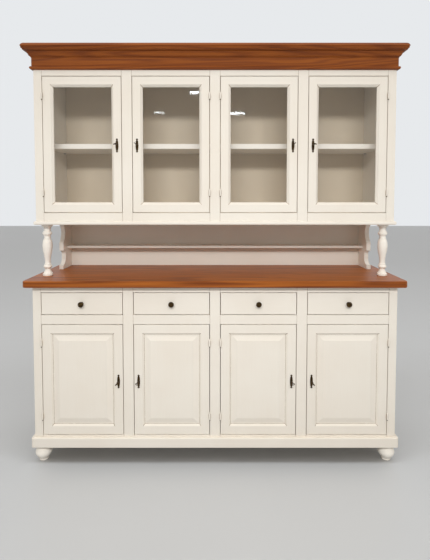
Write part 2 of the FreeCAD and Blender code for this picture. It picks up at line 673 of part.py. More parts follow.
# Base
write("feet", make_feet())
write("plinth", make_plinth())
side = box(INNER_HALF, HALF_WIDTH, BASE_INSIDE, BACK, FOOT_HEIGHT, BASE_TOP)
write("base_sides", pair(side))
write("base_floor", [box(-INNER_HALF, INNER_HALF, BASE_INSIDE, BACK_FACE,
                         BASE_FLOOR_TOP - BOARD_THICKNESS, BASE_FLOOR_TOP)])
write("base_partitions", partitions(BASE_STILE_OFFSET, BASE_INSIDE, BASE_FLOOR_TOP, BASE_TOP))
write("base_back", [box(-INNER_HALF, INNER_HALF, BACK_FACE, BACK, FOOT_HEIGHT, BASE_TOP)])
base_rails = [(FOOT_HEIGHT, BASE_FLOOR_TOP), (BASE_DOOR_TOP, DRAWER_BOTTOM), (DRAWER_TOP, BASE_TOP)]
write("base_face_frame", stiles(BASE_STILE_OFFSET, BASE_FACE, FOOT_HEIGHT, BASE_TOP)
      + rails(BASE_STILE_OFFSET, BASE_FACE, base_rails))
base_shelf = BASE_FLOOR_TOP + BASE_SHELF_RISE
write("base_shelves", shelves(BASE_STILE_OFFSET, BASE_INSIDE, base_shelf))
write("drawer_runners", make_runners())
write("worktop", [make_worktop()])

# Niche
write("turned_posts", make_posts())
write("scroll_brackets", make_brackets())
bracket_outer = HALF_WIDTH - BRACKET_INSET
write("niche_back", [box(-bracket_outer, bracket_outer, BACK - NICHE_BACK_THICKNESS, BACK,
                         WORKTOP_TOP, HUTCH_BOTTOM)])
write("niche_ledge", [make_ledge()])

# Hutch
write("hutch_floor", [make_hutch_floor()])
side = box(INNER_HALF, HALF_WIDTH, HUTCH_INSIDE, BACK, HUTCH_FLOOR_TOP, HUTCH_TOP)
write("hutch_sides", pair(side))
hutch_ceiling = HUTCH_TOP - BOARD_THICKNESS
write("hutch_partitions", partitions(HUTCH_STILE_OFFSET, HUTCH_INSIDE, HUTCH_FLOOR_TOP, hutch_ceiling))
write("hutch_top", [box(-INNER_HALF, INNER_HALF, HUTCH_INSIDE, BACK_FACE, hutch_ceiling, HUTCH_TOP)])
write("hutch_back", [box(-INNER_HALF, INNER_HALF, BACK_FACE, BACK, HUTCH_FLOOR_TOP, HUTCH_TOP)])
hutch_rails = [(HUTCH_FLOOR_TOP, HUTCH_DOOR_BOTTOM), (HUTCH_DOOR_TOP, HUTCH_TOP)]
write("hutch_face_frame", stiles(HUTCH_STILE_OFFSET, HUTCH_FACE, HUTCH_FLOOR_TOP, HUTCH_TOP)
      + rails(HUTCH_STILE_OFFSET, HUTCH_FACE, hutch_rails))
hutch_shelf = HUTCH_FLOOR_TOP + HUTCH_SHELF_RISE
write("hutch_shelves", shelves(HUTCH_STILE_OFFSET, HUTCH_INSIDE, hutch_shelf))
write("cornice", make_cornice())
write("shelf_pins", shelf_pins(BASE_STILE_OFFSET, BASE_INSIDE, base_shelf)
      + shelf_pins(HUTCH_STILE_OFFSET, HUTCH_INSIDE, hutch_shelf))

# Drawers
for number, (left, right) in enumerate(openings(BASE_STILE_OFFSET), start=1):
    drawer, knob = make_drawer(left, right)
    write(f"drawer_{number}", drawer)
    write(f"drawer_{number}_knob", knob)

# Doors
frame_leaves = make_doors("lower", BASE_STILE_OFFSET, BASE_FACE, BASE_FLOOR_TOP, BASE_DOOR_OPENING,
                          BASE_LOCK_RISE, BASE_HINGE_INSET, BASE_KEY_ANGLES, panelled_door)
frame_leaves += make_doors("upper", HUTCH_STILE_OFFSET, HUTCH_FACE, HUTCH_DOOR_BOTTOM, HUTCH_DOOR_OPENING,
                           HUTCH_LOCK_RISE, HUTCH_HINGE_INSET, HUTCH_KEY_ANGLES, glazed_door)
write("hinge_frame_leaves", frame_leaves)
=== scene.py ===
import json
import math

import bmesh
import bpy
from mathutils import Matrix, Vector


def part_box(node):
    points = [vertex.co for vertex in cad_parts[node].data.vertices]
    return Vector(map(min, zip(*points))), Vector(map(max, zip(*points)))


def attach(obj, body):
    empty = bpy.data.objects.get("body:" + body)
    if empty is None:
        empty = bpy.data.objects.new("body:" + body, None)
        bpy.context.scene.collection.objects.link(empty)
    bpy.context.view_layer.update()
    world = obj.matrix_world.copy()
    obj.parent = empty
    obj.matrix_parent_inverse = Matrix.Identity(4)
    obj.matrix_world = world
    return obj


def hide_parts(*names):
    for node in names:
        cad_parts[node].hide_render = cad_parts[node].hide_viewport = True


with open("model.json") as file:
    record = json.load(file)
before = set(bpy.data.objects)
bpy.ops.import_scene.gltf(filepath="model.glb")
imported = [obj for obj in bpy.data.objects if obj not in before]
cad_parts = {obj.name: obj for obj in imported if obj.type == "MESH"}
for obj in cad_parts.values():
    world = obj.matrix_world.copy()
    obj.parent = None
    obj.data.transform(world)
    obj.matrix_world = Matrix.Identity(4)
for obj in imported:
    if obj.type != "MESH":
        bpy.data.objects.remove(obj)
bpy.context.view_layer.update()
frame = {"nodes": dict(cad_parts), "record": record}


# Bun feet. Four turnip shapes turned from beech, dowelled up into the corners of the base.
# They are brushed with satin cream paint, lighter than on the carcass as painted light, with brown
# glaze wiped into the grooves of the turning, and stand on a small flat underneath.
class Wire:
    """A shader socket that takes part in sums: each operation adds the node that does it."""

    def __init__(self, tree, socket=None):
        self.tree = tree
        self.socket = socket

    def add(self, kind, sockets=(), out=0, stops=(), **settings):
        """Adds one node: its settings and ramp stops first, then values or links of its sockets."""
        node = self.tree.nodes.new("ShaderNode" + kind)
        for name, value in settings.items():
            setattr(node, name, value)
        if stops:
            elements = node.color_ramp.elements
            while len(elements) < len(stops):
                elements.new(0.5)
            for element, (position, colour) in zip(elements, stops):
                element.position = position
                element.color = (*colour, 1.0)
        for name, value in dict(sockets).items():
            if isinstance(value, Wire):
                self.tree.links.new(value.socket, node.inputs[name])
            else:
                node.inputs[name].default_value = value
        return Wire(self.tree, node.outputs[out])

    def sum(self, operation, first, second):
        return self.add("Math", {0: first, 1: second}, operation=operation)

    def __add__(self, other):
        return self.sum("ADD", self, other)

    def __radd__(self, other):
        return self.sum("ADD", other, self)

    def __sub__(self, other):
        return self.sum("SUBTRACT", self, other)

    def __rsub__(self, other):
        return self.sum("SUBTRACT", other, self)

    def __mul__(self, other):
        return self.sum("MULTIPLY", self, other)

    def __rmul__(self, other):
        return self.sum("MULTIPLY", other, self)

    def mixed(self, factor, first, second):
        """One colour going over to another by a factor."""
        return self.add("Mix", {0: factor, 6: first, 7: second}, out=2, data_type="RGBA")

    def stretched(self, scales):
        return self.add("VectorMath", {0: self, 1: scales}, operation="MULTIPLY")

    def stepped(self, low, high):
        """From 0 at low to 1 at high, eased at both ends."""
        return self.add("MapRange", {"Value": self, "From Min": low, "From Max": high},
                        interpolation_type="SMOOTHSTEP")

    def noise(self, place, scale, detail, **more):
        return self.add("TexNoise", {"Vector": place, "Scale": scale, "Detail": detail, **more})

    def shut_in(self, reach):
        """How far the piece's own surfaces close in on a point, from 0 to 1."""
        return 1 - self.add("AmbientOcclusion", {"Distance": reach}, out="AO", samples=8, only_local=True)


def finish(name, surface):
    """Material whose surface is built by a function of a bare wire."""
    material = bpy.data.materials.new(name)
    material.use_nodes = True
    tree = material.node_tree
    tree.nodes.clear()
    output = tree.nodes.new("ShaderNodeOutputMaterial")
    tree.links.new(surface(Wire(tree)).socket, output.inputs["Surface"])
    return material


X_AXIS, Y_AXIS, Z_AXIS = range(3)


def grained(along, lengthwise, crosswise):
    """Scales for a texture drawn out along one axis."""
    return tuple(lengthwise if axis == along else crosswise for axis in range(3))


CREAM = (0.845, 0.785, 0.695, 1.0)
WARM_CREAM = (0.82, 0.75, 0.655, 1.0)
GLAZE = (0.235, 0.145, 0.07, 1.0)


def cream_paint(name, strokes, soft_edge=0.0, light=CREAM, dark=WARM_CREAM):
    """Satin cream paint with brush marks drawn out by strokes, and glaze left where surfaces
    close in. A soft edge rounds the look of sharp edges."""
    def surface(wire):
        place = wire.add("TexCoord", out="Object")
        brush = wire.noise(place.stretched(strokes), 1.0, 4.0)
        drift = wire.noise(place, 3.4, 3.0)
        held = wire.shut_in(0.007).stepped(0.24, 0.85) * (0.45 + drift * 0.35)
        colour = wire.mixed((drift * 0.75 + brush * 0.25).stepped(0.36, 0.68), light, dark)
        bump = {"Height": brush + drift * 0.4, "Strength": 0.16, "Distance": 0.0004}
        if soft_edge:
            bump["Normal"] = wire.add("Bevel", {"Radius": soft_edge}, samples=4)
        return wire.add("BsdfPrincipled", {
            "Base Color": wire.mixed(held, colour, GLAZE), "Roughness": 0.37 + brush * 0.14,
            "Coat Weight": 0.12, "Coat Roughness": 0.3, "Normal": wire.add("Bump", bump),
        })
    return finish(name, surface)


def smooth_line(runs, wide=1.0, tall=1.0):
    """Points along runs of (across, up) shares, scaled to size: straight between two points, and
    a smooth curve through more."""
    steps = 7
    line = []
    for run in runs:
        points = [Vector((across * wide, up * tall)) for across, up in run]
        if len(points) > 2:
            ends = [2 * points[0] - points[1], *points, 2 * points[-1] - points[-2]]
            points = []
            for a, b, c, d in zip(ends, ends[1:], ends[2:], ends[3:]):
                for t in (step / steps for step in range(steps)):
                    points.append(0.5 * (2 * b + (c - a) * t + (2 * a - 5 * b + 4 * c - d) * t ** 2
                                         + (3 * b - a - 3 * c + d) * t ** 3))
            points.append(ends[-2])
        line += points[1:] if line else points
    return line


def turned(bm, line, place, sides=56, material=0):
    """Adds a form spun from a line of (radius, height) points; place sets its axis."""
    rings = []
    for radius, height in line:
        turns = [math.tau * step / sides for step in range(sides)] if radius > 0 else [0.0]
        rings.append([
            bm.verts.new(place @ Vector((radius * math.cos(turn), radius * math.sin(turn), height)))
            for turn in turns
        ])
    for near, far in zip(rings, rings[1:]):
        for i in range(sides):
            j = (i + 1) % sides
            corners = [near[i % len(near)], near[j % len(near)], far[j % len(far)], far[i % len(far)]]
            face = bm.faces.new(list(dict.fromkeys(corners)))
            face.material_index = material
            face.smooth = True


CREASE_ANGLE = math.radians(33)


def fixed(name, bm, finishes, body, slot, *nodes):
    """Makes the mesh a piece that rides on a body and stands for CAD nodes."""
    bmesh.ops.recalc_face_normals(bm, faces=bm.faces)
    for edge in bm.edges:
        if edge.is_manifold and edge.calc_face_angle(0.0) > CREASE_ANGLE:
            edge.smooth = False
    mesh = bpy.data.meshes.new(name)
    bm.to_mesh(mesh)
    bm.free()
    for each in finishes:
        mesh.materials.append(each)
    piece = bpy.data.objects.new(name, mesh)
    bpy.context.scene.collection.objects.link(piece)
    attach(piece, body)
    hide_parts(*nodes)


# Lighter cream for the feet, posts, brackets, ledge and hutch shelves: painted light.
PAINTED_LIGHT_CREAM = (0.93, 0.875, 0.79, 1.0)
SOFT_PAINTED_LIGHT_CREAM = (0.905, 0.845, 0.755, 1.0)
LATHE_MARKS = grained(Z_AXIS, 420.0, 60.0)
turned_painted_light_cream = cream_paint("turned_painted_light_cream", LATHE_MARKS, light=PAINTED_LIGHT_CREAM, dark=SOFT_PAINTED_LIGHT_CREAM)
FOOT_RADIUS = 0.041
FOOT_SHARES = [
    [(0, 0), (0.5, 0)], [(0.5, 0), (0.535, 0.008), (0.545, 0.022)], [(0.545, 0.022), (0.545, 0.05)],
    [(0.545, 0.05), (0.51, 0.066)],
    [(0.51, 0.066), (0.58, 0.125), (0.73, 0.22), (0.88, 0.325), (0.965, 0.43), (0.975, 0.52), (0.9, 0.645),
     (0.745, 0.765), (0.68, 0.81)],
    [(0.68, 0.81), (0.665, 0.825), (0.68, 0.84)], [(0.68, 0.84), (0.86, 0.848), (0.9, 0.865)],
    [(0.9, 0.865), (0.9, 1)], [(0.9, 1), (0, 1)],
]
low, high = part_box("feet")
foot_line = smooth_line(FOOT_SHARES, FOOT_RADIUS, high.z)
feet = bmesh.new()
for x in (low.x + FOOT_RADIUS, high.x - FOOT_RADIUS):
    for y in (low.y + FOOT_RADIUS, high.y - FOOT_RADIUS):
        turned(feet, foot_line, Matrix.Translation((x, y, 0.0)))
fixed("bun_feet", feet, [turned_painted_light_cream], "carcass", "cream_paint", "feet")


# Plinth. A flat painted band glued round the bottom of the base, mitred at the front corners,
# with a rounded top edge that catches the light and corners eased with a plane.
def dressed(material, *nodes):
    """Gives CAD nodes whose shape is right a finish of their own."""
    for node in nodes:
        for place in frame["nodes"][node].material_slots:
            place.link = "OBJECT"
            place.material = material


SOFT_EDGE = 0.0015
BRUSH = (7.0, 300.0)
LEVEL_STROKES = grained(X_AXIS, *BRUSH)
level_cream = cream_paint("level_cream", LEVEL_STROKES, SOFT_EDGE)
dressed(level_cream, "plinth")


# Carcass of the base. Sides, floor, three partitions and a thin back, all of painted board butted
# and screwed together, with one loose shelf in each bay.
UPRIGHT_STROKES = grained(Z_AXIS, *BRUSH)
upright_cream = cream_paint("upright_cream", UPRIGHT_STROKES, SOFT_EDGE)
dressed(upright_cream, "base_sides", "base_partitions", "base_back")
dressed(level_cream, "base_floor", "base_shelves")


# Face frame of the base. Five stiles run the full height and the rails are tenoned between them.
# The edges are eased before painting, so each joint shows as a fine line that holds brown glaze.
SLANT = 0.2


def board(bm, low, high, ease, material=0, line=None):
    """Adds one board with eased edges. With line, the eases at its two ends along X, which close
    a joint, take that material."""
    one = bmesh.new()
    bmesh.ops.create_cube(one, size=1.0)
    for vert in one.verts:
        vert.co = [b if c > 0 else a for a, b, c in zip(low, high, vert.co)]
    bmesh.ops.bevel(one, geom=one.edges[:], offset=ease, segments=2, profile=0.5, affect="EDGES")
    for face in one.faces:
        slanted = abs(face.normal.x) > SLANT and face.normal.y < -SLANT
        face.material_index = line if slanted and line is not None else material
    cut = bpy.data.meshes.new("board")
    one.to_mesh(cut)
    one.free()
    bm.from_mesh(cut)
    bpy.data.meshes.remove(cut)


def glaze_line(wire):
    place = wire.add("TexCoord", out="Object")
    worn = wire.noise(place, 55.0, 3.0)
    return wire.add("BsdfPrincipled", {
        "Base Color": wire.mixed(worn.stepped(0.45, 0.75) * 0.5, GLAZE, WARM_CREAM),
        "Roughness": 0.5 + worn * 0.2,
    })


joint_glaze = finish("joint_glaze", glaze_line)
frame_upright = cream_paint("frame_upright", UPRIGHT_STROKES)
frame_level = cream_paint("frame_level", LEVEL_STROKES)
NUMBERS = (1, 2, 3, 4)
GAP = 0.003
FRAME_EASE = 0.0009


def opening(node):
    """Hole in the face frame round a door or drawer front: its left, right, sill and head."""
    low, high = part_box(node)
    return low.x - GAP, high.x + GAP, low.z - GAP, high.z + GAP


def face_frame(name, node, columns, heights):
    """Stiles and rails round the openings: columns are their left and right sides, and heights
    their sills and heads from the bottom up."""
    low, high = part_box(node)
    across = [low.x, *(x for column in columns for x in column), high.x]
    up = [low.z, *heights, high.z]
    bm = bmesh.new()
    for left, right in zip(across[::2], across[1::2]):
        board(bm, (left, low.y, low.z), (right, high.y, high.z), FRAME_EASE)
    for bottom, top in zip(up[::2], up[1::2]):
        for left, right in columns:
            board(bm, (left, low.y, bottom), (right, high.y, top), FRAME_EASE, material=1, line=2)
    fixed(name, bm, [frame_upright, frame_level, joint_glaze], "carcass", "cream_paint", node)


base_columns = [opening(f"lower_door_{number}_leaf")[:2] for number in NUMBERS]
base_heights = [*opening("lower_door_1_leaf")[2:], *opening("drawer_1")[2:]]
face_frame("base_frame", "base_face_frame", base_columns, base_heights)


# Drawer runners and guides. Planed strips of plain beech, screwed to the sides and partitions
# and left unpainted so that the drawers run on bare wood.
def bare_wood(name, along):
    """Planed pale beech with its grain along one axis: soft growth bands, flecks and pores."""
    def surface(wire):
        place = wire.add("TexCoord", out="Object")
        growth = wire.noise(place.stretched(grained(along, 1.6, 40.0)), 1.0, 4.0, Distortion=0.5)
        pore = wire.noise(place.stretched(grained(along, 24.0, 700.0)), 1.0, 2.0)
        colour = wire.add("ValToRGB", {"Fac": growth}, stops=(
            (0.25, (0.40, 0.25, 0.13)), (0.5, (0.56, 0.38, 0.22)), (0.78, (0.66, 0.48, 0.30)),
        ))
        return wire.add("BsdfPrincipled", {
            "Base Color": wire.mixed(pore.stepped(0.6, 0.75) * 0.35, colour, (0.30, 0.18, 0.09, 1.0)),
            "Roughness": 0.55 + pore * 0.2,
            "Normal": wire.add("Bump", {"Height": pore + growth, "Strength": 0.25, "Distance": 0.0003}),
        })
    return finish(name, surface)


beech_deep = bare_wood("beech_deep", Y_AXIS)
dressed(beech_deep, "drawer_runners")


# Worktop. Solid board glued up from staves, its front corners rounded and its edges eased, then
# stained red-brown and varnished to a satin shine. The grain runs along the length.
def stained_wood(name, along, stain, stave=0.0):
    """Stained and varnished wood with its grain along one axis. The stain is four colours from
    dark to light; across a worktop the tone changes from stave to stave."""
    def surface(wire):
        place = wire.add("TexCoord", out="Object")
        shift = 0.5
        if stave:
            across = wire.add("SeparateXYZ", {0: place}, out="Y")
            number = wire.add("Math", {0: across * (1 / stave)}, operation="FLOOR")
            shift = wire.add("TexWhiteNoise", {"W": number}, noise_dimensions="1D")
            slide = wire.add("CombineXYZ", {"X": shift * 3.0, "Z": shift * 5.0})
            place = wire.add("VectorMath", {0: place, 1: slide}, operation="ADD")
        heart = wire.noise(place.stretched(grained(along, 0.55, 9.0)), 1.0, 2.0, Distortion=0.35)
        rings = wire.add("Math", {0: heart * 92.0}, operation="SINE") * 0.5 + 0.5
        streak = wire.noise(place.stretched(grained(along, 1.9, 75.0)), 1.0, 5.0)
        pore = wire.noise(place.stretched(grained(along, 17.0, 900.0)), 1.0, 2.0)
        tone = rings * 0.22 + streak * 0.52 + heart * 0.26 + (shift * 0.16 - 0.08)
        colour = wire.add("ValToRGB", {"Fac": tone}, stops=tuple(zip((0.24, 0.42, 0.58, 0.80), stain)))
        # Pores go darker, and so do the hollows of the moulding, where the darkening is painted shade.
        dark = pore.stepped(0.58, 0.72) * 0.4 + wire.shut_in(0.006).stepped(0.3, 0.9) * 0.6
        bump = {"Height": pore * 0.7 + streak, "Strength": 0.22, "Distance": 0.0003}
        return wire.add("BsdfPrincipled", {
            "Base Color": wire.mixed(dark, colour, (*stain[0], 1.0)), "Roughness": 0.36 + streak * 0.16,
            "Coat Weight": 0.08, "Coat Roughness": 0.25, "Specular IOR Level": 0.3,
            "Normal": wire.add("Bump", bump),
        })
    return finish(name, surface)


TOP_STAIN = ((0.145, 0.030, 0.003), (0.285, 0.074, 0.008), (0.395, 0.114, 0.012), (0.520, 0.170, 0.021))
STAVE_WIDTH = 0.118
dressed(stained_wood("stained_top", X_AXIS, TOP_STAIN, STAVE_WIDTH), "worktop")


# Turned posts. A pair of balusters spun from one length of wood each, set between worktop and
# hutch floor near the front corners, and painted like the feet in the lighter cream that is painted
# light, with glaze in the quirks.
POST_SHARES = [
    [(0, 0), (0.81, 0)], [(0.81, 0), (0.86, 0.006), (0.87, 0.016)], [(0.87, 0.016), (0.87, 0.04)],
    [(0.87, 0.04), (0.85, 0.047), (0.78, 0.05)], [(0.78, 0.05), (0.58, 0.09), (0.47, 0.13)],
    [(0.47, 0.13), (0.49, 0.14), (0.56, 0.144)], [(0.56, 0.144), (0.74, 0.172), (0.66, 0.206)],
    [(0.66, 0.206), (0.59, 0.212), (0.58, 0.216), (0.58, 0.234), (0.52, 0.239), (0.5, 0.246)],
    [(0.5, 0.246), (0.51, 0.315), (0.62, 0.388), (0.75, 0.457), (0.84, 0.521), (0.875, 0.573), (0.85, 0.625),
     (0.79, 0.672), (0.64, 0.708)],
    [(0.64, 0.708), (0.58, 0.712)], [(0.58, 0.712), (0.62, 0.722), (0.58, 0.733)],
    [(0.58, 0.733), (0.56, 0.737)], [(0.56, 0.737), (0.55, 0.757), (0.57, 0.776)],
    [(0.57, 0.776), (0.63, 0.781)], [(0.63, 0.781), (0.84, 0.823), (0.63, 0.864)],
    [(0.63, 0.864), (0.57, 0.87)], [(0.57, 0.87), (0.57, 0.905), (0.7, 0.942), (0.94, 0.966)],
    [(0.94, 0.966), (1, 0.972)], [(1, 0.972), (1, 1)], [(1, 1), (0, 1)],
]
low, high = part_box("turned_posts")
post_radius = (high.y - low.y) / 2
post_line = smooth_line(POST_SHARES, post_radius, high.z - low.z)
posts = bmesh.new()
for x in (low.x + post_radius, high.x - post_radius):
    turned(posts, post_line, Matrix.Translation((x, low.y + post_radius, low.z)), sides=64)
fixed("balusters", posts, [turned_painted_light_cream], "carcass", "cream_paint", "turned_posts")


# Niche. Scrolled brackets sawn from thick board stand at its ends, a painted backboard closes it,
# and a narrow ledge with a rounded nose runs along the backboard between the brackets. Brackets
# and ledge have the cream of the posts, made lighter as painted light.
dressed(level_cream, "niche_back")
painted_light_cream = cream_paint("painted_light_cream", LEVEL_STROKES, SOFT_EDGE, PAINTED_LIGHT_CREAM, SOFT_PAINTED_LIGHT_CREAM)
dressed(painted_light_cream, "scroll_brackets", "niche_ledge")


# Hutch. A floor board with a rounded nose, painted sides and top, a thin back and partitions in a
# deeper, warmer cream that is painted shade, and in each bay a shelf in the lighter cream that is
# painted light, resting on plated steel pins. The face frame has rails tenoned between its stiles,
# as in the base.
dressed(level_cream, "hutch_floor", "hutch_top")
dressed(painted_light_cream, "hutch_shelves")
dressed(upright_cream, "hutch_sides")
# The deeper, warmer cream of the hutch's back and partitions is painted shade.
PAINTED_SHADE_CREAM = (0.755, 0.65, 0.50, 1.0)
WARM_PAINTED_SHADE = (0.72, 0.61, 0.46, 1.0)
painted_shade_cream = cream_paint("painted_shade_cream", UPRIGHT_STROKES, SOFT_EDGE, PAINTED_SHADE_CREAM, WARM_PAINTED_SHADE)
dressed(painted_shade_cream, "hutch_partitions", "hutch_back")


def plated_steel(wire):
    place = wire.add("TexCoord", out="Object")
    rub = wire.noise(place, 900.0, 2.0)
    return wire.add("BsdfPrincipled", {
        "Base Color": (0.58, 0.57, 0.55, 1.0), "Metallic": 1.0, "Roughness": 0.24 + rub * 0.2,
    })


dressed(finish("plated_steel", plated_steel), "shelf_pins")
hutch_columns = [opening(f"upper_door_{number}_frame")[:2] for number in NUMBERS]
face_frame("hutch_frame", "hutch_face_frame", hutch_columns, opening("upper_door_1_frame")[2:])


# Cornice. An astragal bead, a flat frieze and a coved crown, run in one moulding along the front
# and mitred into a return on each side. It is stained darker than the worktop and varnished.
CORNICE_STAIN = (
    (0.120, 0.025, 0.003), (0.190, 0.044, 0.005), (0.255, 0.064, 0.007), (0.325, 0.089, 0.010),
)
stained_front = stained_wood("stained_front", X_AXIS, CORNICE_STAIN)
stained_return = stained_wood("stained_return", Y_AXIS, CORNICE_STAIN)
CORNICE_SHARES = [
    [(0, 0), (0.13, 0)], [(0.13, 0), (0.25, 0.018), (0.322, 0.071), (0.25, 0.124), (0.13, 0.142)],
    [(0.13, 0.142), (0.138, 0.15)], [(0.138, 0.15), (0.138, 0.496)], [(0.138, 0.496), (0.198, 0.496)],
    [(0.198, 0.496), (0.198, 0.516)], [(0.198, 0.516), (0.295, 0.535), (0.377, 0.58), (0.431, 0.647)],
    [(0.431, 0.647), (0.466, 0.647)], [(0.466, 0.647), (0.466, 0.662)],
    [(0.466, 0.662), (0.5, 0.69), (0.61, 0.718), (0.776, 0.728)], [(0.776, 0.728), (0.819, 0.728)],
    [(0.819, 0.728), (0.819, 0.758)], [(0.819, 0.758), (0.888, 0.768)],
    [(0.888, 0.768), (0.935, 0.79), (0.955, 0.815), (0.93, 0.838)], [(0.93, 0.838), (0.93, 0.846)],
    [(0.93, 0.846), (0.985, 0.852)], [(0.985, 0.852), (0.998, 0.866), (0.998, 0.884), (0.985, 0.898)],
    [(0.985, 0.898), (0.962, 0.902)], [(0.962, 0.902), (0.925, 0.938), (0.86, 0.972), (0.767, 1)],
    [(0.767, 1), (0, 1)],
]
low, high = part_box("cornice")
front_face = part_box("hutch_face_frame")[0].y
half_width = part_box("hutch_sides")[1].x
cornice_line = smooth_line(CORNICE_SHARES, front_face - low.y, high.z - low.z)


def moulding(start, end):
    """One run of the cornice between two end sections, each a function of (out, rise)."""
    bm = bmesh.new()
    rings = [[bm.verts.new(place(*point)) for point in cornice_line] for place in (start, end)]
    for i in range(len(cornice_line)):
        j = (i + 1) % len(cornice_line)
        bm.faces.new([rings[0][i], rings[0][j], rings[1][j], rings[1][i]]).smooth = True
    for ring in rings:
        bm.faces.new(ring)
    return bm


def mitre(side):
    return lambda out, rise: (side * (half_width + out), front_face - out, low.z + rise)


def square_end(side):
    return lambda out, rise: (side * (half_width + out), high.y, low.z + rise)


fixed("cornice_front", moulding(mitre(-1), mitre(1)), [stained_front], "carcass", "stained_wood",
      "cornice")
for side, word in ((-1, "left"), (1, "right")):
    fixed(f"cornice_{word}", moulding(mitre(side), square_end(side)), [stained_return], "carcass",
          "stained_wood", "cornice")


# Drawers. A painted front set flush in the frame, with sides, back and a thin bottom of bare beech
# glued up behind it, and a small turned bronze knob screwed through the middle of the front.
def antique_bronze(wire):
    place = wire.add("TexCoord", out="Object")
    patina = wire.noise(place, 260.0, 4.0)
    worn = wire.noise(place, 70.0, 2.0)
    colour = wire.add("ValToRGB", {"Fac": patina * 0.6 + worn * 0.4}, stops=(
        (0.32, (0.022, 0.013, 0.005)), (0.52, (0.068, 0.040, 0.015)), (0.72, (0.18, 0.108, 0.040)),
    ))
    return wire.add("BsdfPrincipled", {
        "Base Color": colour, "Metallic": 0.92, "Roughness": 0.30 + patina * 0.2,
        "Normal": wire.add("Bump", {"Height": patina, "Strength": 0.15, "Distance": 0.0004}),
    })


bronze = finish("antique_bronze", antique_bronze)
beech_wide = bare_wood("beech_wide", X_AXIS)
drawer_cream = cream_paint("drawer_cream", LEVEL_STROKES)
FRONT_THICK = 0.020
FRONT_EASE = 0.0018
WALL_THICK = 0.012
WALL_EASE = 0.0008
WALL_DROP = 0.022
BOTTOM_RISE = 0.008
BOTTOM_THICK = 0.005
BOTTOM_EASE = 0.0004
KNOB_SHARES = [
    [(0, 0), (0.62, 0)], [(0.62, 0), (0.66, 0.035), (0.62, 0.073)],
    [(0.62, 0.073), (0.44, 0.154), (0.36, 0.34)], [(0.36, 0.34), (0.5, 0.5), (0.92, 0.6)],
    [(0.92, 0.6), (1, 0.68), (0.935, 0.78)], [(0.935, 0.78), (0.85, 0.8)],
    [(0.85, 0.8), (0.66, 0.915), (0.36, 0.98), (0, 1)],
]
TO_FRONT = Matrix.Rotation(math.radians(90), 4, "X")
for number in NUMBERS:
    low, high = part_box(f"drawer_{number}")
    behind = low.y + FRONT_THICK
    rim = high.z - WALL_DROP
    bottom = low.z + BOTTOM_RISE
    inner = (low.x + WALL_THICK, high.x - WALL_THICK)
    bm = bmesh.new()
    board(bm, low, (high.x, behind, high.z), FRONT_EASE)
    for left, right in ((low.x, inner[0]), (inner[1], high.x)):
        board(bm, (left, behind, low.z), (right, high.y, rim), WALL_EASE, material=1)
    board(bm, (inner[0], high.y - WALL_THICK, bottom + BOTTOM_THICK), (inner[1], high.y, rim),
          WALL_EASE, material=2)
    board(bm, (inner[0], behind, bottom), (inner[1], high.y, bottom + BOTTOM_THICK),
          BOTTOM_EASE, material=2)
    fixed(f"drawer_{number}_boards", bm, [drawer_cream, beech_deep, beech_wide], f"drawer_{number}_box",
          "cream_paint", f"drawer_{number}")
    low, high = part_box(f"drawer_{number}_knob")
    seat = Vector(((low.x + high.x) / 2, high.y, (low.z + high.z) / 2))
    bm = bmesh.new()
    turned(bm, smooth_line(KNOB_SHARES, (high.x - low.x) / 2, high.y - low.y),
           Matrix.Translation(seat) @ TO_FRONT, sides=48)
    fixed(f"drawer_{number}_turned_knob", bm, [bronze], f"drawer_{number}_box", "bronze",
          f"drawer_{number}_knob")


# Lower doors. Stiles and rails with a chamfer round the inside, mitred at the corners, hold a
# raised panel with wide bevels. Paint covers all of it, and glaze stays in the mitres and groove.
def mitred_frame(bm, node, section, closed=False):
    """Adds a form whose section, a chain of (inset, depth, material) points, is followed round a
    door's outline, so that its corners are mitred. An open chain is capped at both ends. Gives
    back the rings of corners."""
    low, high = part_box(node)
    rings = []
    for inset, depth, _ in section:
        left, right = low.x + inset, high.x - inset
        sill, head = low.z + inset, high.z - inset
        corners = ((left, sill), (right, sill), (right, head), (left, head))
        rings.append([bm.verts.new((x, low.y + depth, z)) for x, z in corners])
    steps = list(zip(rings, rings[1:], section[1:]))
    if closed:
        steps.append((rings[-1], rings[0], section[0]))
    for near, far, (_, _, material) in steps:
        for i in range(4):
            j = (i + 1) % 4
            bm.faces.new([near[i], near[j], far[j], far[i]]).material_index = material
    if not closed:
        bm.faces.new(rings[0]).material_index = section[0][2]
        bm.faces.new(rings[-1]).material_index = section[-1][2]
    return rings


SCRIBE_WIDTH = 0.0011


def scribe_mitres(bm, rings, section, chamfer):
    """Cuts a fine line that holds glaze along the mitres of a chamfer between two points of the
    section."""
    near, far = (rings[section.index(point)] for point in chamfer)
    lines = [bm.edges.get((a, b)) for a, b in zip(near, far)]
    bmesh.ops.bevel(bm, geom=lines, offset=SCRIBE_WIDTH, segments=1, affect="EDGES", material=1)


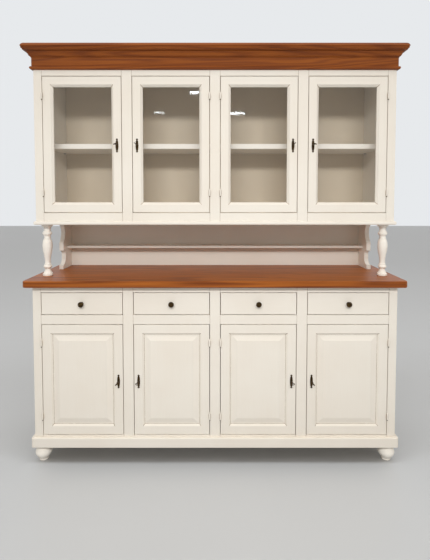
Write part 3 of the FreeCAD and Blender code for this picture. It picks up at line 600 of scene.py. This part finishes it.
door_cream = cream_paint("door_cream", UPRIGHT_STROKES)
DOOR_THICK = 0.022
STILE_WIDTH = 0.050
BACK_EASE = 0.0008
ARRIS = 0.0012
ARRIS_MIDDLE = 0.00035
OUTER_EDGE = (
    (BACK_EASE, DOOR_THICK, 0), (0, DOOR_THICK - BACK_EASE, 0), (0, ARRIS, 0),
    (ARRIS_MIDDLE, ARRIS_MIDDLE, 0), (ARRIS, 0, 0),
)
INNER_EASE = 0.0006
PANEL_CHAMFER = ((0.0423, 0.0003, 0), (0.0497, 0.0075, 0))
PANEL_BACK = 0.015
GROOVE_DEPTH = 0.009
FIELD_INSET = 0.081
FIELD_DEPTH = 0.002
PANELLED_SECTION = (
    (STILE_WIDTH, PANEL_BACK, 0), (STILE_WIDTH, DOOR_THICK - INNER_EASE, 0),
    (STILE_WIDTH - INNER_EASE, DOOR_THICK, 0), *OUTER_EDGE,
    (0.0416, 0, 0), *PANEL_CHAMFER, (STILE_WIDTH, 0.0081, 0),
    (STILE_WIDTH, GROOVE_DEPTH, 1), (0.051, GROOVE_DEPTH, 1), (0.057, GROOVE_DEPTH, 0),
    (0.0575, 0.0089, 0), (0.0804, 0.00225, 0), (FIELD_INSET, FIELD_DEPTH, 0),
)
for number in NUMBERS:
    node = f"lower_door_{number}_leaf"
    bm = bmesh.new()
    rings = mitred_frame(bm, node, PANELLED_SECTION)
    scribe_mitres(bm, rings, PANELLED_SECTION, PANEL_CHAMFER)
    fixed(f"lower_door_{number}_panelled", bm, [door_cream, joint_glaze], f"lower_door_{number}",
          "cream_paint", node)


# Glazed doors. The same mitred framing round a clear pane, which lies in a rebate and is held from
# behind by four small beads. The glass is plain float with polished faces.
def clear_pane(wire):
    return wire.add("BsdfPrincipled", {
        "Base Color": (0.95, 0.96, 0.95, 1.0), "Metallic": 1.0, "Roughness": 0.03, "Alpha": 0.025,
    })


pane = finish("clear_pane", clear_pane)
PANE_CHAMFER = ((0.0393, 0.0003, 0), (0.0496, 0.0094, 0))
REBATE_INSET = 0.042
REBATE_DEPTH = 0.012
GLAZED_SECTION = (
    (REBATE_INSET, REBATE_DEPTH, 0), (REBATE_INSET, DOOR_THICK, 0), *OUTER_EDGE,
    (0.0386, 0, 0), *PANE_CHAMFER, (STILE_WIDTH, 0.010, 0), (STILE_WIDTH, REBATE_DEPTH, 0),
)
BEAD_DEPTH = 0.016
BEAD_SECTION = (
    (REBATE_INSET, BEAD_DEPTH, 0), (STILE_WIDTH, BEAD_DEPTH, 0), (0.0496, 0.0185, 0),
    (0.0465, 0.0216, 0), (0.045, DOOR_THICK, 0), (REBATE_INSET, DOOR_THICK, 0),
)
for number in NUMBERS:
    node = f"upper_door_{number}_frame"
    bm = bmesh.new()
    rings = mitred_frame(bm, node, GLAZED_SECTION, closed=True)
    scribe_mitres(bm, rings, GLAZED_SECTION, PANE_CHAMFER)
    mitred_frame(bm, node, BEAD_SECTION, closed=True)
    fixed(f"upper_door_{number}_framing", bm, [door_cream, joint_glaze], f"upper_door_{number}",
          "cream_paint", node)
    dressed(pane, f"upper_door_{number}_glass")


# Hinges. Each is an olive split into two knuckles on a steel pin, with thin leaves let into the
# gap. They are painted over with the doors, and a bronze tip stays bare below.
def hinge_paint_and_shade(wire):
    """Cream paint with brown painted shade down both sides of the olive, where it turns sideways."""
    place = wire.add("TexCoord", out="Object")
    drift = wire.noise(place, 40.0, 3.0)
    turn = wire.add("SeparateXYZ", {0: wire.add("TexCoord", out="Normal")}, out="X")
    # The more the olive's surface turns sideways, the browner it is: painted shade.
    side = wire.add("Math", {0: turn}, operation="ABSOLUTE")
    return wire.add("BsdfPrincipled", {
        "Base Color": wire.mixed(side.stepped(0.45, 0.95) * (0.5 + drift * 0.4), CREAM, GLAZE),
        "Roughness": 0.36 + drift * 0.14, "Coat Weight": 0.12, "Coat Roughness": 0.3,
    })


hinge_cream_and_shade = finish("hinge_cream_and_shade", hinge_paint_and_shade)
KNUCKLE_RADIUS = 0.005
KNUCKLE_HEIGHT = 0.020
KNUCKLE_GAP = 0.0003
KNUCKLE_SIDES = 28
OLIVE_SHARES = [
    [(0, 0), (0.93, 0)], [(0.93, 0), (1, 0.03), (0.99, 0.35), (0.86, 0.66), (0.56, 0.88), (0.3, 0.95)],
    [(0.3, 0.95), (0, 0.96)],
]
BARE_SHARES = [
    [(0, 0), (0.93, 0)], [(0.93, 0), (1, 0.03), (0.98, 0.32), (0.84, 0.6), (0.56, 0.77)],
    [(0.56, 0.77), (0, 0.77)],
]
TIP_SHARES = [[(0, 0.75), (0.5, 0.75)], [(0.5, 0.75), (0.62, 0.82), (0.5, 0.93), (0.2, 0.985), (0, 0.99)]]
LEAF_THICK = 0.0012
LEAF_DEPTH = 0.016
LEAF_EASE = 0.0002
ARM_HEIGHT = 0.014
ARM_LAP = 0.001
HINGE_INSETS = {"lower": 0.092, "upper": 0.097}
LEAVES = {"lower": "leaf", "upper": "frame"}
anchors = {joint["name"]: joint.get("pos_m") for joint in frame["record"]["behaviour"]["joints"]}
upside_down = Matrix.Rotation(math.pi, 4, "X")
stile_halves = bmesh.new()
door_halves = {}
for tier in LEAVES:
    for number in NUMBERS:
        low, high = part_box(f"{tier}_door_{number}_{LEAVES[tier]}")
        axis_x, axis_y, _ = anchors[f"{tier}_door_{number}_hinge"]
        inward = 1 if axis_x < low.x else -1
        on_door = door_halves[tier, number] = bmesh.new()
        for middle in (low.z + HINGE_INSETS[tier], high.z - HINGE_INSETS[tier]):
            centre = Vector((axis_x, axis_y, middle))
            above = Matrix.Translation(centre + Vector((0, 0, KNUCKLE_GAP)))
            below = Matrix.Translation(centre) @ upside_down
            for bm, shares, place, material in (
                (on_door, OLIVE_SHARES, above, 0), (stile_halves, BARE_SHARES, below, 0),
                (stile_halves, TIP_SHARES, below, 1),
            ):
                line = smooth_line(shares, KNUCKLE_RADIUS, KNUCKLE_HEIGHT)
                turned(bm, line, place, KNUCKLE_SIDES, material)
            for bm, step, foot, head in (
                (stile_halves, -GAP / 2, -ARM_HEIGHT, 0),
                (on_door, GAP / 2 - LEAF_THICK, KNUCKLE_GAP, ARM_HEIGHT),
            ):
                left, right = sorted((axis_x + inward * step, axis_x + inward * (step + LEAF_THICK)))
                board(bm, (left, low.y, middle - KNUCKLE_HEIGHT),
                      (right, low.y + LEAF_DEPTH, middle + KNUCKLE_HEIGHT), LEAF_EASE)
                board(bm, (left, axis_y, middle + foot), (right, low.y + ARM_LAP, middle + head), LEAF_EASE)
fixed("hinge_stile_halves", stile_halves, [hinge_cream_and_shade, bronze], "carcass", "painted_hinge",
      "hinge_frame_leaves")


# Key plates and locks. A cast bronze plate, domed across, with a neck and a ball at each end, is
# pinned over the keyhole; a bronze barrel goes through the stile behind it.
PLATE_HALF_WIDTH = 0.007
PLATE_TIP = 0.0294
PLATE_BODY = 0.0235
PLATE_NECK = 0.0024
PLATE_TAPER = 0.45
PLATE_RISE = 0.0015
PLATE_DOME = 0.6
PLATE_EDGE = 0.0007
BALL_RADIUS = 0.0050
BALL_RISE = 0.0027
BALL_SHARES = [[(0, 0), (0.94, 0)], [(0.94, 0), (1, 0.3704), (0.74, 0.8148), (0, 1)]]
BALL_LINE = smooth_line(BALL_SHARES, BALL_RADIUS, BALL_RISE)
BOSS_RADIUS = 0.0050
BOSS_RISE = 0.0028
BOSS_SHARES = [
    [(0, 0), (1, 0)], [(1, 0), (1, 0.8571), (0.92, 1)], [(0.92, 1), (0.72, 0.9286)],
    [(0.72, 0.9286), (0, 0.9286)],
]
BOSS_LINE = smooth_line(BOSS_SHARES, BOSS_RADIUS, BOSS_RISE)
BARREL_BORE = 0.0051
BARREL_RADIUS = 0.0070
BARREL_EASE = 0.0004
BARREL_LENGTH = 0.0219
BARREL_LINE = (
    (BARREL_BORE, 0), (BARREL_RADIUS - BARREL_EASE, 0), (BARREL_RADIUS, BARREL_EASE),
    (BARREL_RADIUS, BARREL_LENGTH), (BARREL_BORE, BARREL_LENGTH), (BARREL_BORE, 0),
)
KEYHOLE_RISE = 0.004


def plate_form(bm, centre, material):
    """Domed spindle with a neck and a ball at each end, standing on the door's face."""
    rows, columns = 28, 10
    grid = []
    for row in range(rows + 1):
        z = PLATE_TIP * (2 * row / rows - 1)
        wide = PLATE_NECK
        if abs(z) < PLATE_BODY:
            wide = PLATE_HALF_WIDTH * (1 - PLATE_TAPER * (z / PLATE_TIP) ** 2)
        line = []
        for share in (2 * column / columns - 1 for column in range(columns + 1)):
            rise = PLATE_EDGE + PLATE_RISE * (1 - share * share) ** PLATE_DOME
            line.append(bm.verts.new(centre + Vector((share * wide, -rise, z))))
        grid.append(line)
    foot = [[bm.verts.new((v.co.x, centre.y, v.co.z)) for v in (row[0], row[-1])] for row in grid]
    for a, b, fa, fb in zip(grid, grid[1:], foot, foot[1:]):
        faces = [[a[i], a[i + 1], b[i + 1], b[i]] for i in range(columns)]
        faces += [[fa[0], a[0], b[0], fb[0]], [a[-1], fa[1], fb[1], b[-1]], [fa[1], fa[0], fb[0], fb[1]]]
        for corners in faces:
            face = bm.faces.new(corners)
            face.smooth = True
            face.material_index = material
    for row, ends in ((grid[0], foot[0]), (grid[-1], foot[-1])):
        bm.faces.new([ends[0], *row, ends[1]]).material_index = material
    for end in (-PLATE_TIP, PLATE_TIP):
        seat = Matrix.Translation(centre + Vector((0, 0, end))) @ TO_FRONT
        turned(bm, BALL_LINE, seat, sides=24, material=material)


for (tier, number), bm in door_halves.items():
    eye = Vector(anchors[f"{tier}_key_{number}_turn"])
    back = eye + Vector((0, DOOR_THICK, 0))
    plate_form(bm, eye - Vector((0, 0, KEYHOLE_RISE)), material=1)
    turned(bm, BOSS_LINE, Matrix.Translation(eye) @ TO_FRONT, sides=32, material=1)
    turned(bm, BARREL_LINE, Matrix.Translation(back) @ TO_FRONT, sides=32, material=1)
    fixed(f"{tier}_door_{number}_furniture", bm, [hinge_cream_and_shade, bronze], f"{tier}_door_{number}", "bronze",
          f"{tier}_door_{number}_fittings")


# Keys. A round bronze bow on a short shank with a collar stays in each lock; it turns a plug that
# carries a tongue behind the door, which swings across behind the stile to lock it.
KEY_ANGLES = {"lower": (39.0, -8.0, 8.0, -40.0), "upper": (24.0, -35.0, 42.0, -20.0)}
BOW_RADIUS = 0.0080
BOW_WIRE = (0.0019, 0.0017)
BOW_REACH = 0.036
COLLAR_RADIUS = 0.0040
SHANK_REACH = 0.0285
SHANK_SHARES = [
    [(0, -0.4386), (0.65, -0.4386)], [(0.65, -0.4386), (0.65, 0.7018)],
    [(0.65, 0.7018), (0.95, 0.7439), (1, 0.8), (0.75, 0.8421)],
    [(0.75, 0.8421), (0.85, 0.8772), (0.75, 0.9193), (0.55, 0.9544)],
    [(0.55, 0.9544), (0.5, 1)], [(0.5, 1), (0, 1)],
]
SHANK_LINE = smooth_line(SHANK_SHARES, COLLAR_RADIUS, SHANK_REACH)
PLUG_RADIUS = 0.0050
PLUG_LENGTH = 0.0215
PLUG_LINE = ((0, 0), (PLUG_RADIUS, 0), (PLUG_RADIUS, PLUG_LENGTH), (0, PLUG_LENGTH))
TONGUE_LOW = Vector((-0.005, 0.0225, -0.033))
TONGUE_HIGH = Vector((0.005, 0.0245, 0.005))
TONGUE_EASE = 0.0005


def key_bow(bm, centre, angle):
    """Ring of oval wire, turned about the shank by an angle in degrees."""
    around, sides = 40, 12
    turn = Matrix.Rotation(math.radians(angle), 4, (0, -1, 0))
    rings = []
    for step in range(around):
        out = Vector((math.cos(math.tau * step / around), math.sin(math.tau * step / around), 0))
        ring = []
        for k in range(sides):
            wide = BOW_WIRE[0] * math.cos(math.tau * k / sides)
            thick = Vector((0, 0, BOW_WIRE[1] * math.sin(math.tau * k / sides)))
            ring.append(bm.verts.new(centre + turn @ (out * (BOW_RADIUS + wide) + thick)))
        rings.append(ring)
    for near, far in zip(rings, [*rings[1:], rings[0]]):
        for k in range(sides):
            m = (k + 1) % sides
            bm.faces.new([near[k], near[m], far[m], far[k]]).smooth = True


for tier, angles in KEY_ANGLES.items():
    for number, angle in zip(NUMBERS, angles):
        eye = Vector(anchors[f"{tier}_key_{number}_turn"])
        bm = bmesh.new()
        key_bow(bm, eye - Vector((0, BOW_REACH, 0)), angle)
        plug_end = eye + Vector((0, TONGUE_LOW.y, 0))
        turned(bm, SHANK_LINE, Matrix.Translation(eye) @ TO_FRONT, sides=24)
        turned(bm, PLUG_LINE, Matrix.Translation(plug_end) @ TO_FRONT, sides=28)
        board(bm, eye + TONGUE_LOW, eye + TONGUE_HIGH, TONGUE_EASE)
        fixed(f"{tier}_door_{number}_bow_key", bm, [bronze], f"{tier}_key_{number}", "bronze",
              f"{tier}_door_{number}_key")


# Floor and backdrop. A plain pale floor with a soft sheen, and a pale surround that the camera,
# the glass and the bronze all see alike.
def pale_floor(wire):
    place = wire.add("TexCoord", out="Object")
    drift = wire.noise(place, 0.8, 3.0)
    return wire.add("BsdfPrincipled", {
        "Base Color": wire.mixed(drift, (0.55, 0.56, 0.575, 1.0), (0.60, 0.61, 0.625, 1.0)),
        "Roughness": 0.28 + drift * 0.1,
    })


FLOOR_REACH = 15.0
ground = bpy.data.meshes.new("floor")
ground.from_pydata([(x, y, 0) for x, y in ((-1, -1), (1, -1), (1, 1), (-1, 1))], [], [(0, 1, 2, 3)])
ground.transform(Matrix.Scale(FLOOR_REACH, 4))
ground.materials.append(finish("pale_floor", pale_floor))
floor = bpy.data.objects.new("floor", ground)
bpy.context.scene.collection.objects.link(floor)

world = bpy.data.worlds.new("surround")
bpy.context.scene.world = world
world.use_nodes = True
world.node_tree.nodes.clear()
sky = Wire(world.node_tree)
seen = (sky.add("LightPath", out="Is Camera Ray") + sky.add("LightPath", out="Is Glossy Ray")
        + sky.add("LightPath", out="Is Transmission Ray"))
seen = sky.sum("MINIMUM", seen, 1.0)
lit = sky.add("Background", {"Color": (1.0, 0.95, 0.87, 1.0), "Strength": 0.43})
shown = sky.add("Background", {"Color": (0.80, 0.82, 0.84, 1.0), "Strength": 1.0})
both = sky.add("MixShader", {0: seen, 1: lit, 2: shown})
surround = world.node_tree.nodes.new("ShaderNodeOutputWorld")
world.node_tree.links.new(both.socket, surround.inputs["Surface"])


# Studio light. One wide lamp high in front of the dresser gives the shadows and a broad one overhead
# fills them. The floor takes the light of a lamp of its own in place of the front one. Three small
# strips far in front show as glints in the glass.
def lamp(name, place, aim, size, power, colour, glossy=False, spread=180.0, on_floor=None):
    """Area lamp turned to its aim. On the floor it can be shut out (EXCLUDE) or shine there alone
    (INCLUDE)."""
    light = bpy.data.lights.new(name, "AREA")
    light.shape = "RECTANGLE"
    light.spread = math.radians(spread)
    light.size, light.size_y = size
    light.energy = power
    light.color = colour
    holder = bpy.data.objects.new(name, light)
    holder.location = place
    holder.visible_glossy = glossy
    holder.rotation_euler = (Vector(aim) - Vector(place)).to_track_quat("-Z", "Y").to_euler()
    bpy.context.scene.collection.objects.link(holder)
    if on_floor:
        reached = bpy.data.collections.new(f"{name}_floor")
        reached.objects.link(floor)
        reached.collection_objects[0].light_linking.link_state = on_floor
        holder.light_linking.receiver_collection = reached


lamp("front_lamp", place=(0.0, -2.8, 2.55), aim=(0.0, 0.0, 0.35), size=(2.6, 0.35), power=27.5,
     colour=(0.96, 0.98, 1.0), spread=110.0, on_floor="EXCLUDE")
lamp("floor_lamp", place=(0.0, -1.0, 5.0), aim=(0.0, -1.0, 0.0), size=(8.0, 1.0), power=110.0,
     colour=(0.94, 0.98, 1.0), on_floor="INCLUDE")
lamp("top_lamp", place=(0.0, -1.0, 5.5), aim=(0.0, -1.0, 0.0), size=(9.0, 6.0), power=135.0,
     colour=(1.0, 0.98, 0.95))
STRIP_DISTANCE = 9.0
STRIPS = (
    (-1.57, 3.68, (0.28, 0.04), 0.7), (-0.56, 4.24, (0.26, 0.062), 1.7),
    (0.62, 3.66, (0.41, 0.053), 2.3),
)
for x, z, size, power in STRIPS:
    lamp("strip", place=(x, -STRIP_DISTANCE, z), aim=(0.0, 0.0, 1.6), size=size, power=power,
         colour=(0.86, 0.93, 1.0), glossy=True)


# Camera. At chest height in front of the middle, tilted a little down, with the picture's frame
# dropped to take in the floor.
TILT_DOWN = 2.35
lens = bpy.data.cameras.new("camera")
lens.sensor_fit = "VERTICAL"
lens.sensor_height = 36.0
lens.lens = 24.5
lens.shift_y = -0.122
camera = bpy.data.objects.new("camera", lens)
camera.location = (0.0, -2.044, 1.337)
camera.rotation_euler = (math.radians(90 - TILT_DOWN), 0.0, 0.0)
bpy.context.scene.collection.objects.link(camera)
bpy.context.scene.camera = camera
bpy.context.scene.view_settings.view_transform = "Standard"
